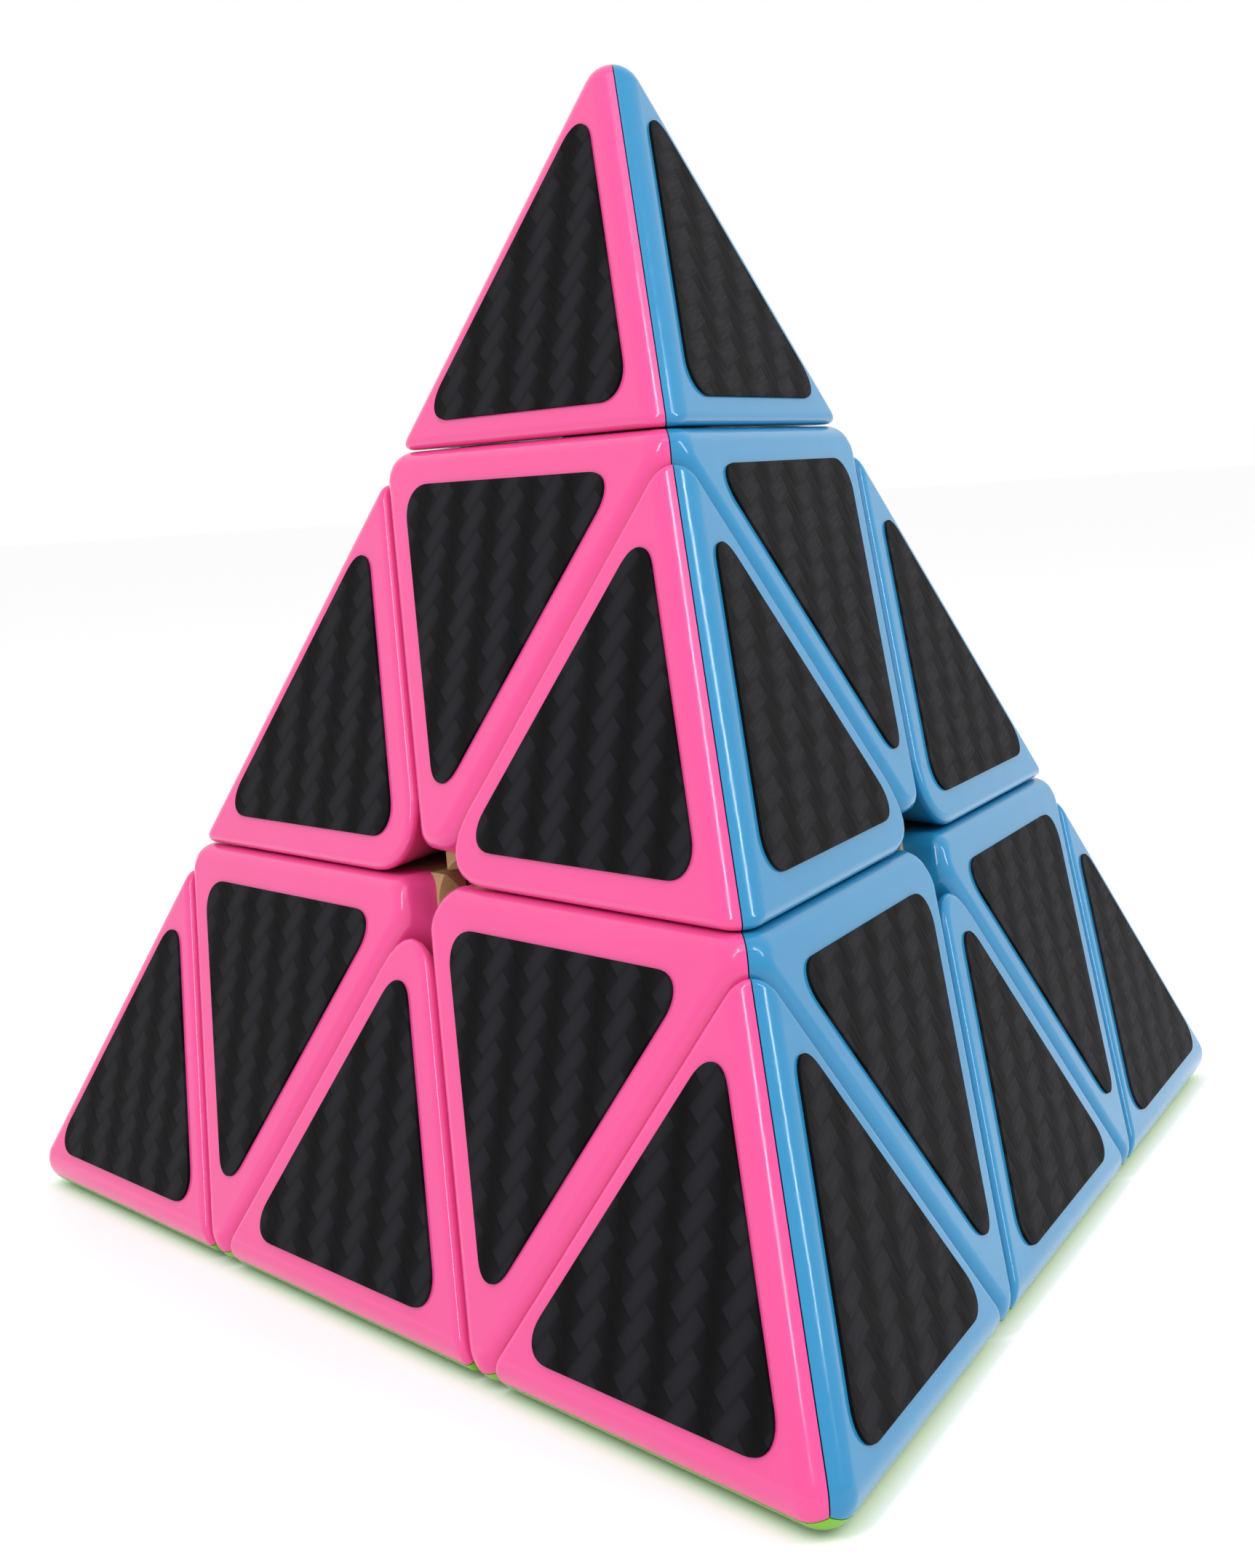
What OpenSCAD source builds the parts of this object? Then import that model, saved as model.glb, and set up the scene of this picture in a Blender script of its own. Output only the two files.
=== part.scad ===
// Pyramid twisty puzzle: a tetrahedron cut into three layers along each of its four axes.
// Every axis runs from the centre of the core, which is the origin, to one vertex.
// The four tips and the four layers turn about those axes. The base lies flat, +Z points at the top tip.

/* [Overall size] */
// Length of a side over its rounded corners
side = 98; // [70:1:140]
// Radius along the long outer edges and at the four points
edge_round = 2; // [1:0.1:4]

/* [Cuts] */
// Gap between two pieces that slide on each other
gap = 0.3; // [0.2:0.05:0.6]
// Radius of the ball inside which the edge pieces have their feet
foot_ball = 16; // [14:0.5:18]
// Distance of the foot cuts from the centre, along each axis
foot_cut = 5.3; // [4.8:0.1:5.8]
// Radius of the opening in the middle of each face, on the edge pieces
edge_opening = 3.9; // [1:0.1:5]
// Radius of the same opening on the axial pieces
axial_opening = 2.2; // [1:0.1:4]

/* [Walls] */
// Wall of the tip shells and the edge halves
wall = 2.2; // [1.5:0.1:3]
// Thickness of the coloured caps on the axial pieces
cap = 3; // [2:0.1:4]

/* [Stickers] */
// Thickness of a sticker
sticker_t = 0.2; // [0.1:0.05:0.4]
// Thickness of the glue under a sticker, part of the sticker's
glue_t = 0.002; // [0.001:0.001:0.01]
// Bare plastic between a sticker and a long outer edge
edge_border = 3.4; // [2:0.1:5]
// Bare plastic between a sticker and a cut
cut_border = 2.55; // [1:0.05:4]
// Bare plastic between a tip's sticker and the cut below it
tip_border = 2; // [1:0.1:4]
// Radius of a sticker's corners
sticker_round = 1.8; // [0.5:0.1:3]

/* [Core] */
// Radius of the core's ball
core_ball = 8; // [7:0.5:8.5]
// Radius of a core post
post_r = 4; // [3:0.1:5]
// Distance from the centre to the end of a post
post_end = 17; // [15:0.5:19]
// Thickness of the web that a spring presses on
web = 2; // [1:0.1:3]
// Radius of a screw's shank
screw_r = 1.5; // [1:0.1:2]
// Radius of a screw's head
head_r = 3.9; // [3:0.1:4.2]
// Height of a screw's head
head_h = 2; // [1.5:0.1:3]
// Length of a spring when it is fitted
spring_h = 4.4; // [3:0.1:6]
// Width of the well for the spring and the screw
well_r = 4.8; // [4.4:0.1:5]
// Distance from the centre to the tip of a screw
screw_end = 7; // [6:0.5:9]

/* [Tip barrel] */
// Radius of the barrel that a tip turns on
barrel_r = 5; // [4:0.1:5.2]
// Radius of the snap lip at the barrel's end
lip_r = 5.7; // [5.2:0.1:6]
// Height of the snap lip
lip_h = 1.4; // [1:0.1:2]
// Distance from the centre to the end of the barrel
barrel_end = 29; // [28:0.5:31]

/* [Hidden] */
NAMES = ["top", "front", "left", "right"];
// Turn about Z and tilt from Z that take +Z to each vertex; each vertex then sees its
// neighbours at 180, 60 and 300 degrees and its three faces at 0, 120 and 240 degrees
tetra_angle = acos(-1 / 3);
TURN = [90, -90, 150, 30];
TILT = [0, tetra_angle, tetra_angle, tetra_angle];
FACES = [
    ["yellow", "pink", "blue"],
    ["green", "blue", "pink"],
    ["green", "pink", "yellow"],
    ["green", "yellow", "blue"]
];
// Each edge: the vertex that it is seen from, the direction of the other vertex, that vertex,
// and its colours on the + and - sides
EDGES = [
    [0, 180, 1, "blue", "pink"],
    [0, 60, 2, "pink", "yellow"],
    [0, 300, 3, "yellow", "blue"],
    [1, 300, 2, "green", "pink"],
    [1, 60, 3, "blue", "green"],
    [2, 300, 3, "green", "yellow"]
];
SHADES = [["pink", "#FF66A8"], ["blue", "#5DA9D6"], ["green", "#95D32A"], ["yellow", "#F2D21B"]];

sharp = side + (2 * sqrt(6) - 2) * edge_round;  // side of the tetrahedron with sharp edges
reach = sharp * sqrt(6) / 4;                    // centre to a sharp vertex
face_d = reach / 3;                             // centre to a face
layer_cut = reach / 9;                          // centre to a layer's cut
tip_cut = 5 * reach / 9;                        // centre to a tip's cut
point_d = reach - 2 * edge_round;               // centre to a blunted vertex
ridge_axis_d = sharp / sqrt(8) - sqrt(3) * edge_round;  // centre to the axis of a long edge's rounding
cell = sharp / 3;                               // side of one facet
cell_in = cell / sqrt(12);                      // facet's centre to its sides
g = gap / 2;
edge_tilt = tetra_angle / 2;                    // vertex axis to a neighbouring long edge
face_tilt = 180 - tetra_angle;                  // vertex axis to a face's normal
ridge_flat = edge_tilt / 2;                     // between the flats that make a rounded long edge
big = 4 * reach;
socket_r = barrel_r + gap;
column_r = lip_r + gap + 1.5;
web_bottom = post_end + gap;
post_start = sqrt(pow(core_ball - 0.4, 2) - pow(post_r, 2));
head_d = web_bottom + web + gap + spring_h + 0.1;

function piece(kind, v) = str(kind, "_", NAMES[v]);
function edge_name(e) = str("edge_", NAMES[e[0]], "_", NAMES[e[2]]);
function shade(name) = [for (s = SHADES) if (s[0] == name) s[1]][0];

// Places its children with +Z along the axis of vertex v
module toward(v) {
    rotate([0, 0, TURN[v]]) rotate([0, TILT[v], 0]) children();
}

// Places its children with +Z out through the middle of an edge, and +X along it
module along(e) {
    toward(e[0]) rotate([0, 0, e[1]]) rotate([0, edge_tilt, 0]) children();
}

// All space above height h, and all below it
module above(h) {
    translate([-big / 2, -big / 2, h]) cube(big);
}

module below(h) {
    translate([-big / 2, -big / 2, h - big]) cube(big);
}

// In a vertex's frame: the direction of its neighbour at angle a
module neighbour(a) {
    rotate([0, 0, a]) rotate([0, tetra_angle, 0]) children();
}

// In a vertex's frame: +Z out of the face at angle a, +X down it and away from the vertex
module face_at(a) {
    rotate([0, 0, a]) rotate([0, face_tilt, 0]) children();
}

// In an edge's frame: +Z out of the face on side s, the edge at -Y on side 1 and at +Y on side -1
module half_face(s) {
    rotate([-s * edge_tilt, 0, 0]) children();
}

// Third of the space round a vertex's axis that belongs to the face at angle a
module sector(a) {
    intersection() {
        rotate([0, 0, a - 60]) translate([-big / 2, 0, -big / 2]) cube(big);
        rotate([0, 0, a + 60]) translate([-big / 2, -big, -big / 2]) cube(big);
    }
}

// In an edge's frame: space inside its rounding, which is three flats, and t deeper
module inside_ridge(t = 0) {
    intersection() {
        below(ridge_axis_d + edge_round - t);
        rotate([ridge_flat, 0, 0]) below(ridge_axis_d * cos(ridge_flat) + edge_round - t);
        rotate([-ridge_flat, 0, 0]) below(ridge_axis_d * cos(ridge_flat) + edge_round - t);
    }
}

// Space inside the long edges that run down from a vertex
module inside_ridges() {
    intersection() {
        rotate([0, 0, 60]) rotate([0, edge_tilt, 0]) inside_ridge();
        rotate([0, 0, 180]) rotate([0, edge_tilt, 0]) inside_ridge();
        rotate([0, 0, 300]) rotate([0, edge_tilt, 0]) inside_ridge();
    }
}

// Plate of thickness t under the face at angle a
module face_plate(a, t) {
    intersection() {
        sector(a);
        face_at(a) translate([-big / 2, -big / 2, face_d - t]) cube([big, big, t]);
    }
}

// Space under all three faces of a vertex, t deep
module under_faces(t) {
    intersection() {
        face_at(0) below(face_d - t);
        face_at(120) below(face_d - t);
        face_at(240) below(face_d - t);
    }
}

// Space on the near side of the three neighbours' cuts at distance d
module before_neighbours(d) {
    intersection() {
        neighbour(60) below(d);
        neighbour(180) below(d);
        neighbour(300) below(d);
    }
}

module face_opening(a, r) {
    face_at(a) cylinder(r = r, h = face_d + 1, $fn = 48);
}

// Triangle with rounded corners, one of them toward +X
module sticker(inner) {
    corner = 2 * (inner - sticker_round);
    points = [
        for (t = [0:120:240], u = [-60:20:60])
            corner * [cos(t), sin(t)] + sticker_round * [cos(t + u), sin(t + u)]
    ];
    translate([0, 0, glue_t]) linear_extrude(sticker_t - glue_t) polygon(points);
}

module tip_shell(v, k) {
    color(shade(FACES[v][k])) toward(v) intersection() {
        face_plate(120 * k, wall);
        above(tip_cut + g);
        below(point_d);
        inside_ridges();
    }
}

// Floor of the hollow tip, with the snap barrel under it
module tip_hub(v) {
    floor_z = tip_cut + g;
    color("ivory") toward(v) difference() {
        union() {
            intersection() {
                under_faces(wall);
                translate([-big / 2, -big / 2, floor_z]) cube([big, big, web]);
            }
            translate([0, 0, barrel_end]) cylinder(r = barrel_r, h = floor_z - barrel_end + 1, $fn = 64);
            translate([0, 0, barrel_end]) cylinder(r = lip_r, h = lip_h, $fn = 64);
        }
        translate([0, 0, barrel_end - 1]) cylinder(r = barrel_r - 1.5, h = floor_z - barrel_end + 1, $fn = 64);
    }
}

module tip_stickers(v) {
    inner = cell_in - (2 * edge_border + tip_border) / 3;
    middle = -4 * cell_in - (tip_border - edge_border) * 2 / 3;
    color("#222224") toward(v) for (a = [0:120:240]) {
        face_at(a) translate([middle, 0, face_d]) rotate([0, 0, 180]) sticker(inner);
    }
}

module axial_cap(v, k) {
    color(shade(FACES[v][k])) toward(v) difference() {
        intersection() {
            face_plate(120 * k, cap);
            below(tip_cut - g);
            above(layer_cut + g);
            before_neighbours(layer_cut - g);
            inside_ridges();
        }
        face_opening(120 * k, axial_opening);
    }
}

// Outer body that carries the caps, the inner part that holds the feet down, and the bore for the post
module axial_hub(v) {
    color("ivory") toward(v) difference() {
        union() {
            difference() {
                intersection() {
                    under_faces(cap);
                    below(tip_cut - g);
                    above(layer_cut + g);
                    before_neighbours(layer_cut - g);
                }
                sphere(foot_ball + g, $fn = 96);
                hub_pockets();
            }
            intersection() {
                above(layer_cut + g);
                below(web_bottom + web);
                before_neighbours(foot_cut - g);
                sphere(foot_ball + g + 1, $fn = 96);
            }
            intersection() {
                above(foot_cut + g);
                before_neighbours(foot_cut - g);
                sphere(foot_ball - g, $fn = 96);
            }
        }
        sphere(core_ball + gap, $fn = 96);
        cylinder(r = post_r + gap, h = web_bottom, $fn = 64);
        cylinder(r = screw_r + gap, h = reach, $fn = 48);
        translate([0, 0, web_bottom + web]) cylinder(r = well_r, h = reach, $fn = 64);
        translate([0, 0, barrel_end - gap]) cylinder(r = socket_r, h = reach, $fn = 64);
        translate([0, 0, barrel_end - gap]) cylinder(r = lip_r + gap, h = lip_h + 2 * gap, $fn = 64);
        for (a = [0:120:240]) face_opening(a, axial_opening);
    }
}

// Hollows between an axial hub's side walls and its middle column, closed by the caps
module hub_pockets() {
    difference() {
        intersection() {
            below(tip_cut - g - wall);
            above(layer_cut + g + wall);
            before_neighbours(layer_cut - g - wall);
        }
        cylinder(r = column_r, h = reach, $fn = 64);
        sphere(foot_ball + g + wall, $fn = 96);
        for (a = [0:120:240]) face_opening(a, axial_opening + wall);
    }
}

module axial_stickers(v) {
    inner = cell_in - cut_border;
    color("#222224") toward(v) for (a = [0:120:240]) {
        face_at(a) translate([-2 * cell_in, 0, face_d]) sticker(inner);
    }
}

// Space beyond the cuts, at distance d, of the two vertices that an edge joins
module beyond_cuts(d) {
    intersection() {
        rotate([0, -edge_tilt, 0]) above(d);
        rotate([0, edge_tilt, 0]) above(d);
    }
}

module under_edge_faces(t) {
    intersection() {
        half_face(1) below(face_d - t);
        half_face(-1) below(face_d - t);
        inside_ridge(t);
    }
}

// One half of an edge piece with its half of the foot; s is 1 or -1
module edge_half(e, s) {
    color(shade(s > 0 ? e[3] : e[4])) along(e) intersection() {
        translate([-big / 2, s > 0 ? 0 : -big, -big / 2]) cube(big);
        union() {
            difference() {
                intersection() {
                    beyond_cuts(layer_cut + g);
                    under_edge_faces(0);
                }
                intersection() {
                    beyond_cuts(layer_cut + g + wall);
                    under_edge_faces(wall);
                }
                half_face(s) cylinder(r = edge_opening, h = face_d + 1, $fn = 48);
            }
            intersection() {
                beyond_cuts(foot_cut + g);
                half_face(1) above(g - foot_cut);
                half_face(-1) above(g - foot_cut);
                sphere(foot_ball - g, $fn = 96);
            }
        }
    }
}

module edge_stickers(e) {
    inner = cell_in - (edge_border + 2 * cut_border) / 3;
    middle = 2 * cell_in - (edge_border - cut_border) * 2 / 3;
    color("#222224") along(e) for (s = [-1, 1]) {
        half_face(s) translate([0, -s * middle, face_d]) rotate([0, 0, s * 90]) sticker(inner);
    }
}

// One post, from just inside the ball's surface
module post() {
    translate([0, 0, post_start]) cylinder(r = post_r, h = post_end - post_start, $fn = 64);
}

// Ball with four hollow posts
module core() {
    color("ivory") difference() {
        union() {
            sphere(core_ball, $fn = 96);
            for (v = [0:3]) toward(v) post();
        }
        for (v = [0:3]) toward(v) translate([0, 0, screw_end]) cylinder(r = screw_r, h = post_end, $fn = 48);
    }
}

// Screw and spring of each axial piece; the spring is the tube that its coils fill
module screw_sets() {
    color("silver") for (v = [0:3]) toward(v) {
        translate([0, 0, screw_end]) cylinder(r = screw_r, h = head_d - screw_end + 0.5, $fn = 48);
        translate([0, 0, head_d]) cylinder(r = head_r, h = head_h, $fn = 64);
        translate([0, 0, web_bottom + web + gap]) difference() {
            cylinder(r = head_r, h = spring_h, $fn = 64);
            translate([0, 0, -1]) cylinder(r = head_r - 1, h = spring_h + 2, $fn = 64);
        }
    }
}

for (v = [0:3], k = [0:2]) {
    tip_shell(v, k);
    axial_cap(v, k);
}
for (v = [0:3]) {
    tip_hub(v);
    tip_stickers(v);
    axial_hub(v);
    axial_stickers(v);
}
for (e = EDGES) {
    edge_half(e, 1);
    edge_half(e, -1);
    edge_stickers(e);
}
core();
screw_sets();
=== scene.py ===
"""A pyramid twisty puzzle: coloured plastic shells with black woven stickers, on white paper."""
import math
import bpy
import bmesh
from mathutils import Matrix, Quaternion, Vector


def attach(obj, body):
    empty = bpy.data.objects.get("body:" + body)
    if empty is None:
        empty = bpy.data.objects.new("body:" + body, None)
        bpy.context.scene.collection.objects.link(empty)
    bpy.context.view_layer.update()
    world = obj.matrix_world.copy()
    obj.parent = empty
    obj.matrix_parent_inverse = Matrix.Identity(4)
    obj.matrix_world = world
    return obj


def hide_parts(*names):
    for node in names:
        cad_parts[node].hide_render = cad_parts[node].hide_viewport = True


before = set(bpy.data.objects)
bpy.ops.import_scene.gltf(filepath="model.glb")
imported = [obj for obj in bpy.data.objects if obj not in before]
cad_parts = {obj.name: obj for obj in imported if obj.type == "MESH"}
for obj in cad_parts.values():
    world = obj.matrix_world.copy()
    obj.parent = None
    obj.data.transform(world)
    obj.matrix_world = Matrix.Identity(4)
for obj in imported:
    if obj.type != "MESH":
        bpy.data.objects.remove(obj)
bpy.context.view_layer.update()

# --- Camera -----------------------------------------------------------------------------
# A short portrait lens close to the puzzle, a little to the left of the front edge and above
# the middle, rolled slightly, so that the puzzle leans to the left.
CAMERA_AZIMUTH = math.radians(-6.53)
CAMERA_ELEVATION = math.radians(10.7)
CAMERA_DISTANCE = 0.1724
CAMERA_AIM = Vector((-0.0005, -0.0004, -0.0021))
CAMERA_ROLL = math.radians(-3.69)

lens = bpy.data.cameras.new("camera")
lens.lens = 55.1
lens.sensor_width = 36
lens.shift_x = -0.022
lens.shift_y = 0.1173
lens.clip_start = 0.01
camera = bpy.data.objects.new("camera", lens)
camera.location = CAMERA_DISTANCE * Vector((
    math.sin(CAMERA_AZIMUTH) * math.cos(CAMERA_ELEVATION),
    -math.cos(CAMERA_AZIMUTH) * math.cos(CAMERA_ELEVATION),
    math.sin(CAMERA_ELEVATION),
))
camera.rotation_mode = "QUATERNION"
level = (CAMERA_AIM - camera.location).to_track_quat("-Z", "Y")
camera.rotation_quaternion = level @ Quaternion((0, 0, 1), CAMERA_ROLL)
bpy.context.scene.collection.objects.link(camera)
bpy.context.scene.camera = camera

# --- Tips -------------------------------------------------------------------------------
# Each tip is three thin plates, one to a colour, glued along the long edges round an ivory
# hub, and turns by itself. The plates are injection-moulded ABS with soft, polished rims.
SIDE = 0.098
EDGE_ROUND = 0.002
SHARP_SIDE = SIDE + (2 * math.sqrt(6) - 2) * EDGE_ROUND
REACH = SHARP_SIDE * math.sqrt(6) / 4
FACE_D = REACH / 3
TIP_CUT = 5 * REACH / 9
HALF_GAP = 0.00005
RIM = 0.001
SEAM = 0.00004
TIP_WALL = 0.0022
BLANK = 0.4
SHARP_ANGLE = math.radians(35)

# the four axes run from the middle of the core to the four points
AXES = {"top": Vector((0, 0, 1))}
for point, turn in (("front", -90), ("left", 150), ("right", 30)):
    AXES[point] = Matrix.Rotation(math.radians(turn), 3, "Z") @ Vector((math.sqrt(8) / 3, 0, -1 / 3))

# each colour is on the face opposite one point
FACE_COLOURS = {"right": "pink", "left": "blue", "top": "green", "front": "yellow"}


def linear(hex_colour):
    """An sRGB hex colour as linear values with alpha."""
    channels = [int(hex_colour[i:i + 2], 16) / 255 for i in (1, 3, 5)]
    return [c / 12.92 if c <= 0.04045 else ((c + 0.055) / 1.055) ** 2.4 for c in channels] + [1]


def add(tree, kind, inputs=None, **settings):
    """Adds a node, sets it up, and links or sets its inputs."""
    made = tree.nodes.new(kind)
    for name, value in settings.items():
        setattr(made, name, value)
    for name, value in (inputs or {}).items():
        if isinstance(value, bpy.types.NodeSocket):
            tree.links.new(value, made.inputs[name])
        else:
            made.inputs[name].default_value = value
    return made


def moulded_abs(name, hex_colour, deep_hex):
    """Glossy moulded ABS: slight drift in the colour, and fine ripple and rub marks in the gloss."""
    material = bpy.data.materials.new(name)
    material.use_nodes = True
    tree = material.node_tree
    tree.nodes.clear()
    place = add(tree, "ShaderNodeTexCoord").outputs["Object"]
    # the melt flowed in broad swirls, some 20 mm across
    drift = add(tree, "ShaderNodeTexNoise", {"Vector": place, "Scale": 50, "Detail": 3})
    colour = add(tree, "ShaderNodeMix", {
        "Factor": drift.outputs["Fac"], "A": linear(hex_colour), "B": linear(deep_hex)
    }, data_type="RGBA")
    # rub marks about 1 mm long, and ripple of the polished mould about 3 mm across
    rubbed = add(tree, "ShaderNodeTexNoise", {"Vector": place, "Scale": 900, "Detail": 4})
    rough = add(tree, "ShaderNodeMapRange", {
        "Value": rubbed.outputs["Fac"], "From Min": 0.3, "From Max": 0.75, "To Min": 0.1, "To Max": 0.2
    })
    ripple = add(tree, "ShaderNodeTexNoise", {"Vector": place, "Scale": 350, "Detail": 2})
    bump = add(tree, "ShaderNodeBump", {
        "Height": ripple.outputs["Fac"], "Strength": 0.08, "Distance": 0.0003
    })
    surface = add(tree, "ShaderNodeBsdfPrincipled", {
        "Base Color": colour.outputs["Result"], "Roughness": rough.outputs["Result"],
        "Normal": bump.outputs["Normal"], "IOR": 1.53, "Subsurface Weight": 0.1, "Subsurface Scale": 0.001,
        "Subsurface Radius": (1, 1, 1), "Specular IOR Level": 0.4,
    })
    add(tree, "ShaderNodeOutputMaterial", {"Surface": surface.outputs["BSDF"]})
    return material


PLASTICS = {
    "pink": moulded_abs("abs_pink", "#E44C90", "#DB4488"),
    "blue": moulded_abs("abs_blue", "#2783B2", "#207BAA"),
    "green": moulded_abs("abs_lime", "#76B41C", "#6DAB16"),
    "yellow": moulded_abs("abs_yellow", "#E4B80E", "#DCB00A"),
}


def carve(bm, normal, distance):
    """Cuts away what lies more than distance along normal, and closes the cut with new faces."""
    everything = bm.verts[:] + bm.edges[:] + bm.faces[:]
    bmesh.ops.bisect_plane(
        bm, geom=everything, dist=1e-7, plane_co=normal * distance, plane_no=normal, clear_outer=True
    )
    return bmesh.ops.holes_fill(bm, edges=[e for e in bm.edges if e.is_boundary], sides=0)["faces"]


def rounded(bm, edges, offset, segments):
    """Rounds edges over a width of offset on each side."""
    bmesh.ops.bevel(
        bm, geom=edges, offset=offset, offset_type="OFFSET", segments=segments, profile=0.5,
        affect="EDGES", material=-1, clamp_overlap=False
    )


def cut_piece(cuts, corner):
    """Cuts a piece from the rounded pyramid, and rounds its corners and the rims of its skin."""
    bm = bmesh.new()
    bmesh.ops.create_cube(bm, size=BLANK)
    for axis in AXES.values():
        carve(bm, -axis, FACE_D)
    rounded(bm, bm.edges[:], EDGE_ROUND * math.sqrt(2), 10)
    for vert in bm.verts:
        ball = max(AXES.values(), key=vert.co.dot) * (REACH - 3 * EDGE_ROUND)
        vert.co = ball + (vert.co - ball).normalized() * EDGE_ROUND
    skin = bm.faces.layers.int.new("skin")
    for face in bm.faces:
        face[skin] = 1
    for normal, distance in cuts:
        for wall in carve(bm, normal, distance):
            wall[skin] = 0

    def walls(edge):
        return sum(not face[skin] for face in edge.link_faces)

    if corner:
        skin_verts = {vert for face in bm.faces if face[skin] for vert in face.verts}
        rounded(bm, [e for e in bm.edges if walls(e) == 2 and skin_verts & set(e.verts)], corner, 8)
    rounded(bm, [e for e in bm.edges if walls(e) == 1], RIM, 5)
    return bm


def plate(bm, opposite, ends, depth):
    """The part of a piece that belongs to the face opposite one point, down to a depth."""
    part = bm.copy()
    for a, b in ends:
        seam = AXES[a].cross(AXES[b]).normalized()
        if seam.dot(AXES[opposite]) < 0:
            seam.negate()
        carve(part, seam, -SEAM)
    if depth:
        carve(part, AXES[opposite], depth - FACE_D)
    return part


def finish_mesh(bm, name, material):
    """Makes a smooth-shaded object from a bmesh that lies in place."""
    bmesh.ops.recalc_face_normals(bm, faces=bm.faces[:])
    for face in bm.faces:
        face.smooth = True
    for edge in bm.edges:
        edge.smooth = edge.calc_face_angle(0) < SHARP_ANGLE
    mesh = bpy.data.meshes.new(name)
    bm.to_mesh(mesh)
    bm.free()
    mesh.materials.append(material)
    piece = bpy.data.objects.new(name, mesh)
    bpy.context.scene.collection.objects.link(piece)
    piece.modifiers.new("flat_faces", "WEIGHTED_NORMAL").keep_sharp = True
    return piece


for point, axis in AXES.items():
    tip = cut_piece([(-axis, -TIP_CUT - HALF_GAP)], 0)
    for opposite in AXES:
        if opposite == point:
            continue
        ends = [(point, other) for other in AXES if other not in (point, opposite)]
        colour = FACE_COLOURS[opposite]
        shell = plate(tip, opposite, ends, TIP_WALL)
        piece = finish_mesh(shell, f"shell_tip_{point}_{colour}", PLASTICS[colour])
        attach(piece, f"tip_{point}")
        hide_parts(f"tip_{point}_{colour}")
    tip.free()

# --- Axial pieces -----------------------------------------------------------------------
# Under each tip an ivory hub carries three coloured ABS caps, pressed on. Where three of
# these pieces meet in the middle of a face, their blunt corners leave part of an opening.
LAYER_CUT = REACH / 9
CAP_DEPTH = 0.003
CAP_BLUNT = 0.0024
CAP_CORNER = 0.001

for point, axis in AXES.items():
    others = [name for name in AXES if name != point]
    cuts = [(axis, TIP_CUT - HALF_GAP), (-axis, -LAYER_CUT - HALF_GAP)]
    for other in others:
        cuts.append((AXES[other], LAYER_CUT - HALF_GAP))
        cuts.append(((-axis - AXES[other] / 3).normalized(), -CAP_BLUNT))
    axial = cut_piece(cuts, CAP_CORNER)
    for opposite in others:
        ends = [(point, other) for other in others if other != opposite]
        colour = FACE_COLOURS[opposite]
        cap = plate(axial, opposite, ends, CAP_DEPTH)
        piece = finish_mesh(cap, f"cap_axial_{point}_{colour}", PLASTICS[colour])
        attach(piece, f"axial_{point}")
        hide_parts(f"axial_{point}_{colour}")
    axial.free()

# --- Edge pieces ------------------------------------------------------------------------
# Each edge piece is two ABS halves in the colours of its faces, glued along the long edge.
# A foot moulded with the halves hooks under the hubs of the axial pieces and holds it in.
EDGE_CORNER = 0.0055
FOOT_BALL = 0.01585
FOOT_CUT = 0.00545
FOOT_GAP = 0.0003
EDGES = [
    ("top", "front"), ("top", "left"), ("top", "right"),
    ("front", "left"), ("front", "right"), ("left", "right"),
]

for ends in EDGES:
    block = cut_piece([(-AXES[end], -LAYER_CUT - HALF_GAP) for end in ends], EDGE_CORNER)
    foot = bmesh.new()
    bmesh.ops.create_uvsphere(foot, u_segments=64, v_segments=48, radius=FOOT_BALL)
    for name, axis in AXES.items():
        if name in ends:
            carve(foot, -axis, -FOOT_CUT)
        else:
            carve(foot, axis, FOOT_CUT - FOOT_GAP)
    for opposite in AXES:
        if opposite in ends:
            continue
        colour = FACE_COLOURS[opposite]
        node = f"edge_{ends[0]}_{ends[1]}_{colour}"
        half = plate(block, opposite, [ends], 0)
        half_foot = plate(foot, opposite, [ends], 0)
        foot_mesh = bpy.data.meshes.new("half_foot")
        half_foot.to_mesh(foot_mesh)
        half_foot.free()
        half.from_mesh(foot_mesh)
        bpy.data.meshes.remove(foot_mesh)
        piece = finish_mesh(half, f"half_{node}", PLASTICS[colour])
        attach(piece, f"edge_{ends[0]}_{ends[1]}")
        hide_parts(node)
    block.free()
    foot.free()

# --- Stickers ---------------------------------------------------------------------------
# A die-cut PVC film on each facet, with a carbon twill under a satin clear coat.
# The tows cross over two and under two; the warp tows are painted lighter as painted sheen, which draws
# stepped stripes.
STICKER_T = 0.0002
STICKER_ROUND = 0.0018
STICKER_RIM = 0.00006
EDGE_BORDER = 0.0034
CUT_BORDER = 0.00255
TIP_BORDER = 0.002
CELL_IN = SHARP_SIDE / 3 / math.sqrt(12)
TOW_MM = 1.54

# the lean of the woven stripes on the face opposite each point, as the sheets were laid
WEAVE_LEAN = {"right": -10, "left": 30, "top": 0, "front": 15}


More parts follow.
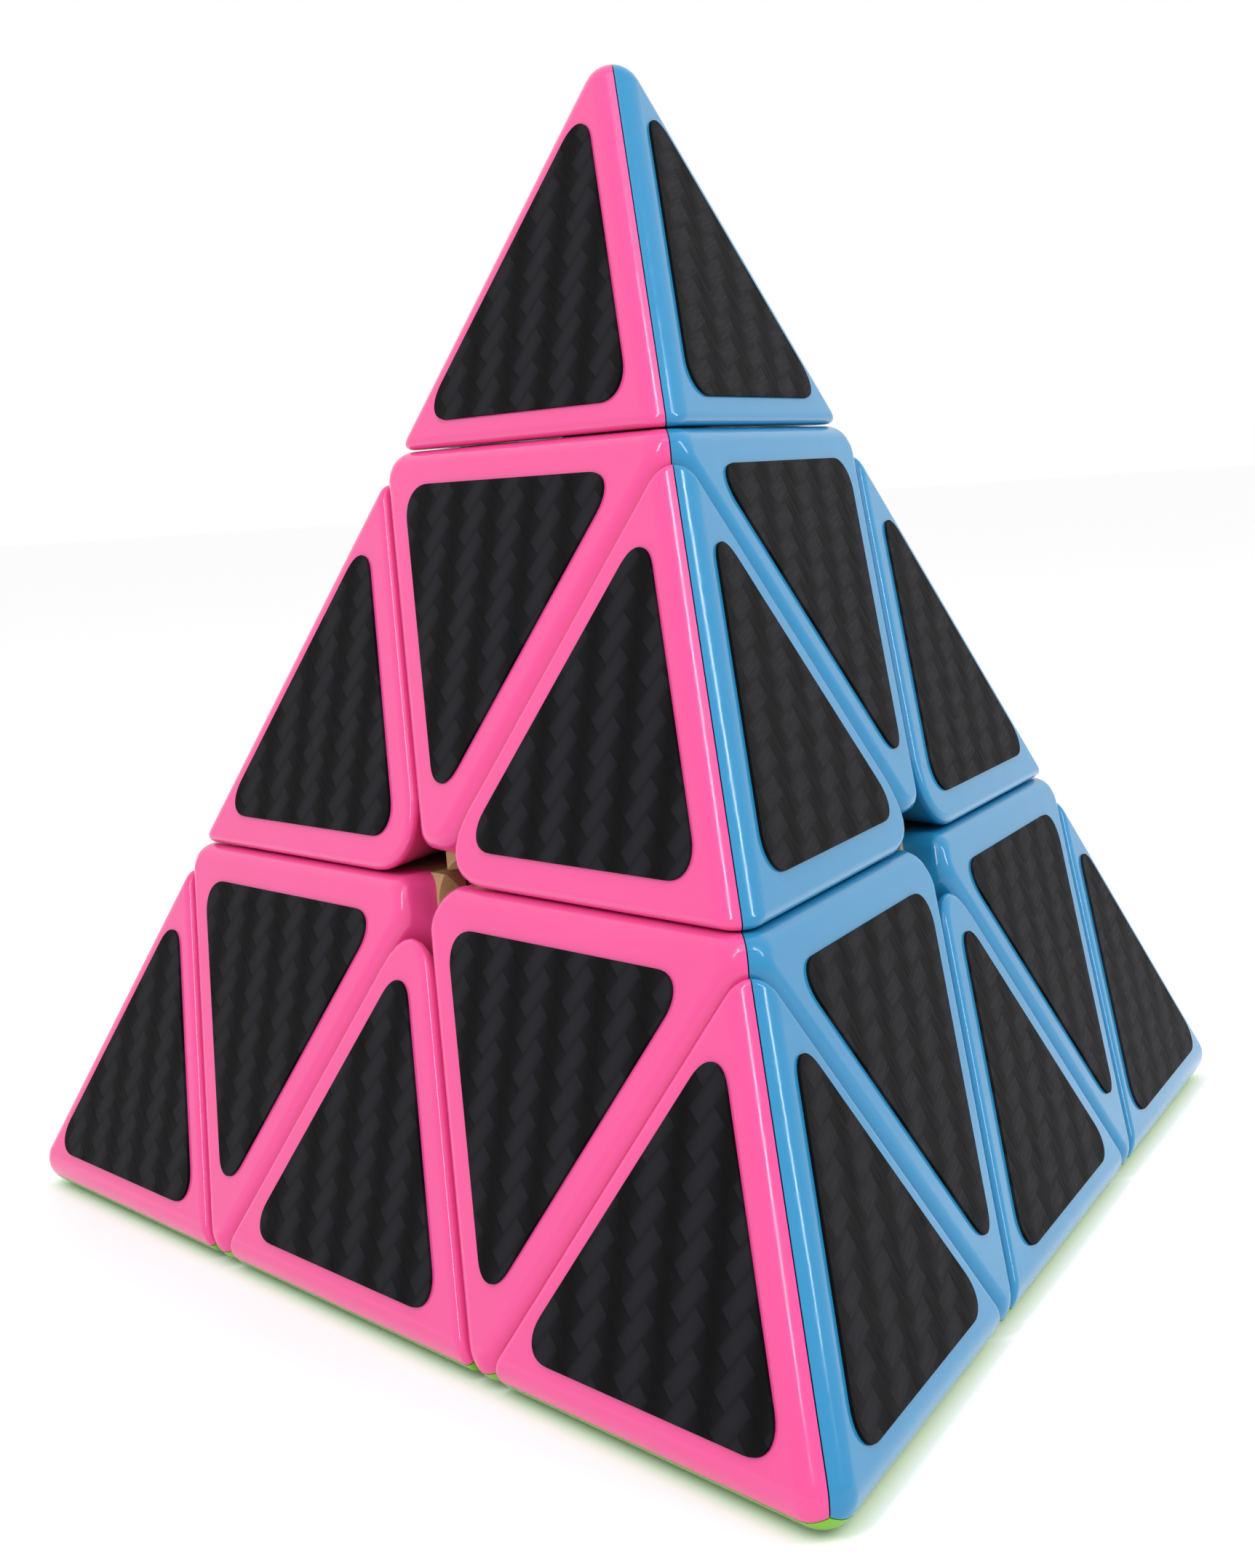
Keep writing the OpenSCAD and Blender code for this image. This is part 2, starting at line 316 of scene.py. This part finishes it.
def twill_film():
    """Satin black film: low-contrast tows woven two over two, with painted sheen on the warp tows, painted
    shade at the tow edges, filaments along them, and dust.
    """
    material = bpy.data.materials.new("pvc_film_carbon_twill")
    material.use_nodes = True
    tree = material.node_tree
    tree.nodes.clear()

    weave = add(tree, "ShaderNodeUVMap", uv_map="weave").outputs["UV"]
    tows = add(tree, "ShaderNodeMapping", {
        "Vector": weave, "Rotation": (0, 0, math.radians(45)), "Scale": (1 / TOW_MM,) * 3
    }).outputs["Vector"]
    split = add(tree, "ShaderNodeSeparateXYZ", {"Vector": tows})
    across, along = split.outputs["X"], split.outputs["Y"]
    # the warp lies on top over two tows in four, one tow further on in each row
    column = add(tree, "ShaderNodeMath", {0: across}, operation="FLOOR").outputs[0]
    row = add(tree, "ShaderNodeMath", {0: along}, operation="FLOOR").outputs[0]
    diagonal = add(tree, "ShaderNodeMath", {0: column, 1: row}, operation="ADD").outputs[0]
    step = add(tree, "ShaderNodeMath", {0: diagonal, 1: 4}, operation="FLOORED_MODULO").outputs[0]
    warp = add(tree, "ShaderNodeMath", {0: step, 1: 1.5}, operation="LESS_THAN").outputs[0]
    # filaments lie about a ninth of a tow apart, coarser than real ones so that they show
    fine_warp = add(tree, "ShaderNodeMapping", {"Vector": tows, "Scale": (9, 0.8, 1)})
    fine_weft = add(tree, "ShaderNodeMapping", {"Vector": tows, "Scale": (0.8, 9, 1)})
    fine = add(tree, "ShaderNodeMix", {
        "Factor": warp, "A": fine_weft.outputs["Vector"], "B": fine_warp.outputs["Vector"]
    }, data_type="VECTOR")
    filament = add(tree, "ShaderNodeTexNoise", {"Vector": fine.outputs["Result"], "Scale": 1, "Detail": 2})
    # each tow is rounded across its width, which sets its bump and its painted shade
    width = add(tree, "ShaderNodeMix", {"Factor": warp, "A": along, "B": across}).outputs["Result"]
    in_tow = add(tree, "ShaderNodeMath", {0: width}, operation="FRACT").outputs[0]
    off_middle = add(tree, "ShaderNodeMath", {0: in_tow, 1: 2, 2: -1}, operation="MULTIPLY_ADD").outputs[0]
    to_edge = add(tree, "ShaderNodeMath", {0: off_middle}, operation="ABSOLUTE").outputs[0]
    fall = add(tree, "ShaderNodeMath", {0: to_edge, 1: 3}, operation="POWER").outputs[0]
    crown = add(tree, "ShaderNodeMath", {0: 1, 1: fall}, operation="SUBTRACT").outputs[0]
    # the painted sheen is blurred a little, so that each light stripe runs on between its steps
    stretch = add(tree, "ShaderNodeMath", {0: across, 1: along}, operation="ADD").outputs[0]
    from_light = add(tree, "ShaderNodeMath", {0: stretch, 1: 1.5}, operation="SUBTRACT").outputs[0]
    phase = add(tree, "ShaderNodeMath", {0: from_light, 1: math.pi / 2}, operation="MULTIPLY").outputs[0]
    swell = add(tree, "ShaderNodeMath", {0: phase}, operation="COSINE").outputs[0]
    soft = add(tree, "ShaderNodeMath", {0: swell, 1: 0.28, 2: 0.28}, operation="MULTIPLY_ADD").outputs[0]
    stripe = add(tree, "ShaderNodeMath", {0: warp, 1: 0.45, 2: soft}, operation="MULTIPLY_ADD").outputs[0]
    # painted sheen: the warp tows get the lighter #222125 and the weft the darker #0D0D0E, for the light
    # that each catches
    sheen_tone = add(tree, "ShaderNodeMix", {
        "Factor": stripe, "A": linear("#0D0D0E"), "B": linear("#222125")
    }, data_type="RGBA").outputs["Result"]
    grain = add(tree, "ShaderNodeMath", {
        0: filament.outputs["Fac"], 1: 0.8, 2: 0.5
    }, operation="MULTIPLY_ADD").outputs[0]
    lit = add(tree, "ShaderNodeMath", {0: grain, 1: crown}, operation="MULTIPLY").outputs[0]
    depth = add(tree, "ShaderNodeMath", {0: lit, 1: 0.4, 2: 0.6}, operation="MULTIPLY_ADD").outputs[0]
    # painted shade: the colour is darkened toward #080809 at each tow's edges, where it rounds over; the
    # filament grain varies it too
    woven = add(tree, "ShaderNodeMix", {
        "Factor": depth, "A": linear("#080809"), "B": sheen_tone
    }, data_type="RGBA").outputs["Result"]
    # a speck of pale dust here and there, about a tenth of a millimetre across
    speck = add(tree, "ShaderNodeTexVoronoi", {"Vector": weave, "Scale": 0.16}).outputs["Distance"]
    dust = add(tree, "ShaderNodeMath", {0: speck, 1: 0.012}, operation="LESS_THAN").outputs[0]
    colour = add(tree, "ShaderNodeMix", {
        "Factor": dust, "A": woven, "B": linear("#8C8C90")
    }, data_type="RGBA")
    rough = add(tree, "ShaderNodeMapRange", {
        "Value": filament.outputs["Fac"], "From Min": 0.3, "From Max": 0.7, "To Min": 0.42, "To Max": 0.6
    })
    bump = add(tree, "ShaderNodeBump", {"Height": crown, "Strength": 0.15, "Distance": 0.00006})
    surface = add(tree, "ShaderNodeBsdfPrincipled", {
        "Base Color": colour.outputs["Result"], "Roughness": rough.outputs["Result"],
        "Normal": bump.outputs["Normal"], "IOR": 1.15, "Specular IOR Level": 0.2,
    })
    add(tree, "ShaderNodeOutputMaterial", {"Surface": surface.outputs["BSDF"]})
    return material


TWILL = twill_film()


def lay_sticker(bm, opposite, middle, pointing, inner):
    """Lays a rounded triangle, one corner toward pointing, on the face opposite one point."""
    laid = set(bm.verts)
    normal = -AXES[opposite]
    place = Matrix((pointing.cross(normal), pointing, normal)).transposed().to_4x4()
    place.translation = middle + normal * FACE_D
    made = bmesh.ops.create_circle(bm, segments=3, radius=2 * inner, cap_ends=True, matrix=place)
    bmesh.ops.bevel(
        bm, geom=made["verts"], offset=STICKER_ROUND * math.sqrt(3), offset_type="OFFSET", segments=10,
        profile=0.5, affect="VERTICES", material=-1, clamp_overlap=False
    )
    flat = [face for face in bm.faces if face.verts[0] not in laid]
    lifted = bmesh.ops.extrude_face_region(bm, geom=flat, use_keep_orig=True)["geom"]
    top = [part for part in lifted if isinstance(part, bmesh.types.BMFace)][0]
    bmesh.ops.translate(bm, vec=normal * STICKER_T, verts=top.verts[:])
    rounded(bm, top.edges[:], STICKER_RIM, 2)
    # the woven stripes run up the face, with its own lean
    up = AXES["front" if opposite == "top" else "top"]
    up = (up - up.dot(normal) * normal).normalized()
    up.rotate(Matrix.Rotation(math.radians(-WEAVE_LEAN[opposite]), 3, normal))
    uv = bm.loops.layers.uv.get("weave") or bm.loops.layers.uv.new("weave")
    for face in bm.faces:
        for loop in face.loops:
            if loop.vert not in laid:
                loop[uv].uv = 1000 * Vector((loop.vert.co.dot(up.cross(normal)), loop.vert.co.dot(up)))


for point, axis in AXES.items():
    for kind in ("tip", "axial"):
        bm = bmesh.new()
        for opposite in AXES:
            if opposite == point:
                continue
            outward = (axis + AXES[opposite] / 3).normalized()
            if kind == "tip":
                inner = CELL_IN - (2 * EDGE_BORDER + TIP_BORDER) / 3
                middle = outward * (4 * CELL_IN + (TIP_BORDER - EDGE_BORDER) * 2 / 3)
                lay_sticker(bm, opposite, middle, outward, inner)
            else:
                lay_sticker(bm, opposite, outward * 2 * CELL_IN, -outward, CELL_IN - CUT_BORDER)
        piece = finish_mesh(bm, f"film_{kind}_{point}", TWILL)
        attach(piece, f"{kind}_{point}")
        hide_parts(f"{kind}_{point}_stickers")

for first, second in EDGES:
    bm = bmesh.new()
    for opposite in AXES:
        if opposite in (first, second):
            continue
        outward = AXES[first] + AXES[second]
        outward = (outward - outward.dot(AXES[opposite]) * AXES[opposite]).normalized()
        inner = CELL_IN - (EDGE_BORDER + 2 * CUT_BORDER) / 3
        middle = outward * (2 * CELL_IN - (EDGE_BORDER - CUT_BORDER) * 2 / 3)
        lay_sticker(bm, opposite, middle, -outward, inner)
    piece = finish_mesh(bm, f"film_edge_{first}_{second}", TWILL)
    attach(piece, f"edge_{first}_{second}")
    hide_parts(f"edge_{first}_{second}_stickers")

# --- Hubs and core ----------------------------------------------------------------------
# The inner parts are plain ivory ABS. They show only through the openings in the faces and
# between the layers when one is part way round.
IVORY = moulded_abs("abs_ivory", "#C4AC80", "#B9A072")
for name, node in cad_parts.items():
    if name.endswith("_hub") or name == "core":
        node.data.materials.clear()
        node.data.materials.append(IVORY)

# --- Screws and springs -----------------------------------------------------------------
# A zinc-plated steel screw runs down each axis into the core. The coil spring under its
# head presses the axial piece in, which keeps the whole puzzle together.
SCREW_END = 0.007
SHANK = 0.0015
HEAD_AT = 0.0241
HEAD = 0.0039
HEAD_H = 0.002
HEAD_ROUND = 0.0007
SHANK_IN_HEAD = 0.0005
SPRING_AT = 0.0197
WIRE = 0.00042
COIL = HEAD - WIRE
TURNS = 4
TURN_STEPS = 24
RISE = HEAD_AT - SPRING_AT - 2 * WIRE


def zinc_plate():
    """Zinc-plated steel: a grey, faintly cloudy metal with soft reflections."""
    material = bpy.data.materials.new("zinc_plated_steel")
    material.use_nodes = True
    tree = material.node_tree
    tree.nodes.clear()
    place = add(tree, "ShaderNodeTexCoord").outputs["Object"]
    cloud = add(tree, "ShaderNodeTexNoise", {"Vector": place, "Scale": 700, "Detail": 3})
    rough = add(tree, "ShaderNodeMapRange", {
        "Value": cloud.outputs["Fac"], "From Min": 0.3, "From Max": 0.7, "To Min": 0.22, "To Max": 0.4
    })
    surface = add(tree, "ShaderNodeBsdfPrincipled", {
        "Base Color": linear("#B9BCC0"), "Metallic": 1.0, "Roughness": rough.outputs["Result"]
    })
    add(tree, "ShaderNodeOutputMaterial", {"Surface": surface.outputs["BSDF"]})
    return material


screws = bmesh.new()
for axis in AXES.values():
    placed = set(screws.verts)
    length = HEAD_AT + SHANK_IN_HEAD - SCREW_END
    bmesh.ops.create_cone(
        screws, segments=24, radius1=SHANK, radius2=SHANK, depth=length, cap_ends=True,
        matrix=Matrix.Translation((0, 0, SCREW_END + length / 2))
    )
    head_middle = HEAD_AT + HEAD_H / 2
    head = bmesh.ops.create_cone(
        screws, segments=40, radius1=HEAD, radius2=HEAD, depth=HEAD_H, cap_ends=True,
        matrix=Matrix.Translation((0, 0, head_middle))
    )["verts"]
    head_top = {vert for vert in head if vert.co.z > head_middle}
    rounded(screws, [edge for edge in screws.edges if head_top.issuperset(edge.verts)], HEAD_ROUND, 4)
    # the coil starts as a disc of wire, which is spun upwards
    wire = bmesh.ops.create_circle(
        screws, segments=8, radius=WIRE, cap_ends=True,
        matrix=Matrix.Translation((COIL, 0, SPRING_AT + WIRE)) @ Matrix.Rotation(math.pi / 2, 4, "X")
    )["verts"]
    around = set(wire)
    disc = [part for part in screws.edges[:] + screws.faces[:] if around.issuperset(part.verts)]
    bmesh.ops.spin(
        screws, geom=wire + disc, cent=(0, 0, 0), axis=(0, 0, 1),
        dvec=(0, 0, RISE / (TURNS * TURN_STEPS)), angle=2 * math.pi * TURNS,
        steps=TURNS * TURN_STEPS, use_merge=False, use_duplicate=False
    )
    new = [vert for vert in screws.verts if vert not in placed]
    turned = axis.to_track_quat("Z", "X").to_matrix()
    bmesh.ops.rotate(screws, cent=(0, 0, 0), matrix=turned, verts=new)
piece = finish_mesh(screws, "screws_and_springs", zinc_plate())
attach(piece, "core")
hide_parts("screw_sets")

# --- Floor and light --------------------------------------------------------------------
# A white paper floor in a white room, under soft light: a tall narrow softbox on each side
# of the front edge and a broad one above.
FLOOR = 6

floor_bm = bmesh.new()
bmesh.ops.create_grid(floor_bm, x_segments=8, y_segments=8, size=FLOOR)
bmesh.ops.translate(floor_bm, vec=(0, 0, -FACE_D - STICKER_T), verts=floor_bm.verts[:])
floor_mesh = bpy.data.meshes.new("floor")
floor_bm.to_mesh(floor_mesh)
floor_bm.free()
floor = bpy.data.objects.new("floor", floor_mesh)
bpy.context.scene.collection.objects.link(floor)
paper = bpy.data.materials.new("white_paper")
paper.use_nodes = True
paper.node_tree.nodes["Principled BSDF"].inputs["Base Color"].default_value = linear("#FCFCFC")
paper.node_tree.nodes["Principled BSDF"].inputs["Roughness"].default_value = 0.7
floor_mesh.materials.append(paper)

world = bpy.data.worlds.new("white_room")
world.use_nodes = True
world.node_tree.nodes["Background"].inputs["Color"].default_value = linear("#FFFFFF")
world.node_tree.nodes["Background"].inputs["Strength"].default_value = 1.0
bpy.context.scene.world = world

# place, width, height and watts of each softbox
SOFTBOXES = {
    "left": (Vector((-0.18, -0.23, 0.40)), 0.03, 0.3, 0.6),
    "right": (Vector((0.33, -0.14, 0.34)), 0.03, 0.3, 0.6),
    "above": (Vector((0.0, -0.15, 0.6)), 0.3, 0.3, 0.4),
}
for name, (place, width, height, power) in SOFTBOXES.items():
    lamp = bpy.data.lights.new(f"softbox_{name}", "AREA")
    lamp.shape = "RECTANGLE"
    lamp.size = width
    lamp.size_y = height
    lamp.energy = power
    softbox = bpy.data.objects.new(f"softbox_{name}", lamp)
    softbox.location = place
    softbox.rotation_mode = "QUATERNION"
    softbox.rotation_quaternion = (-place).to_track_quat("-Z", "Y")
    bpy.context.scene.collection.objects.link(softbox)

bpy.context.scene.view_settings.view_transform = "Standard"
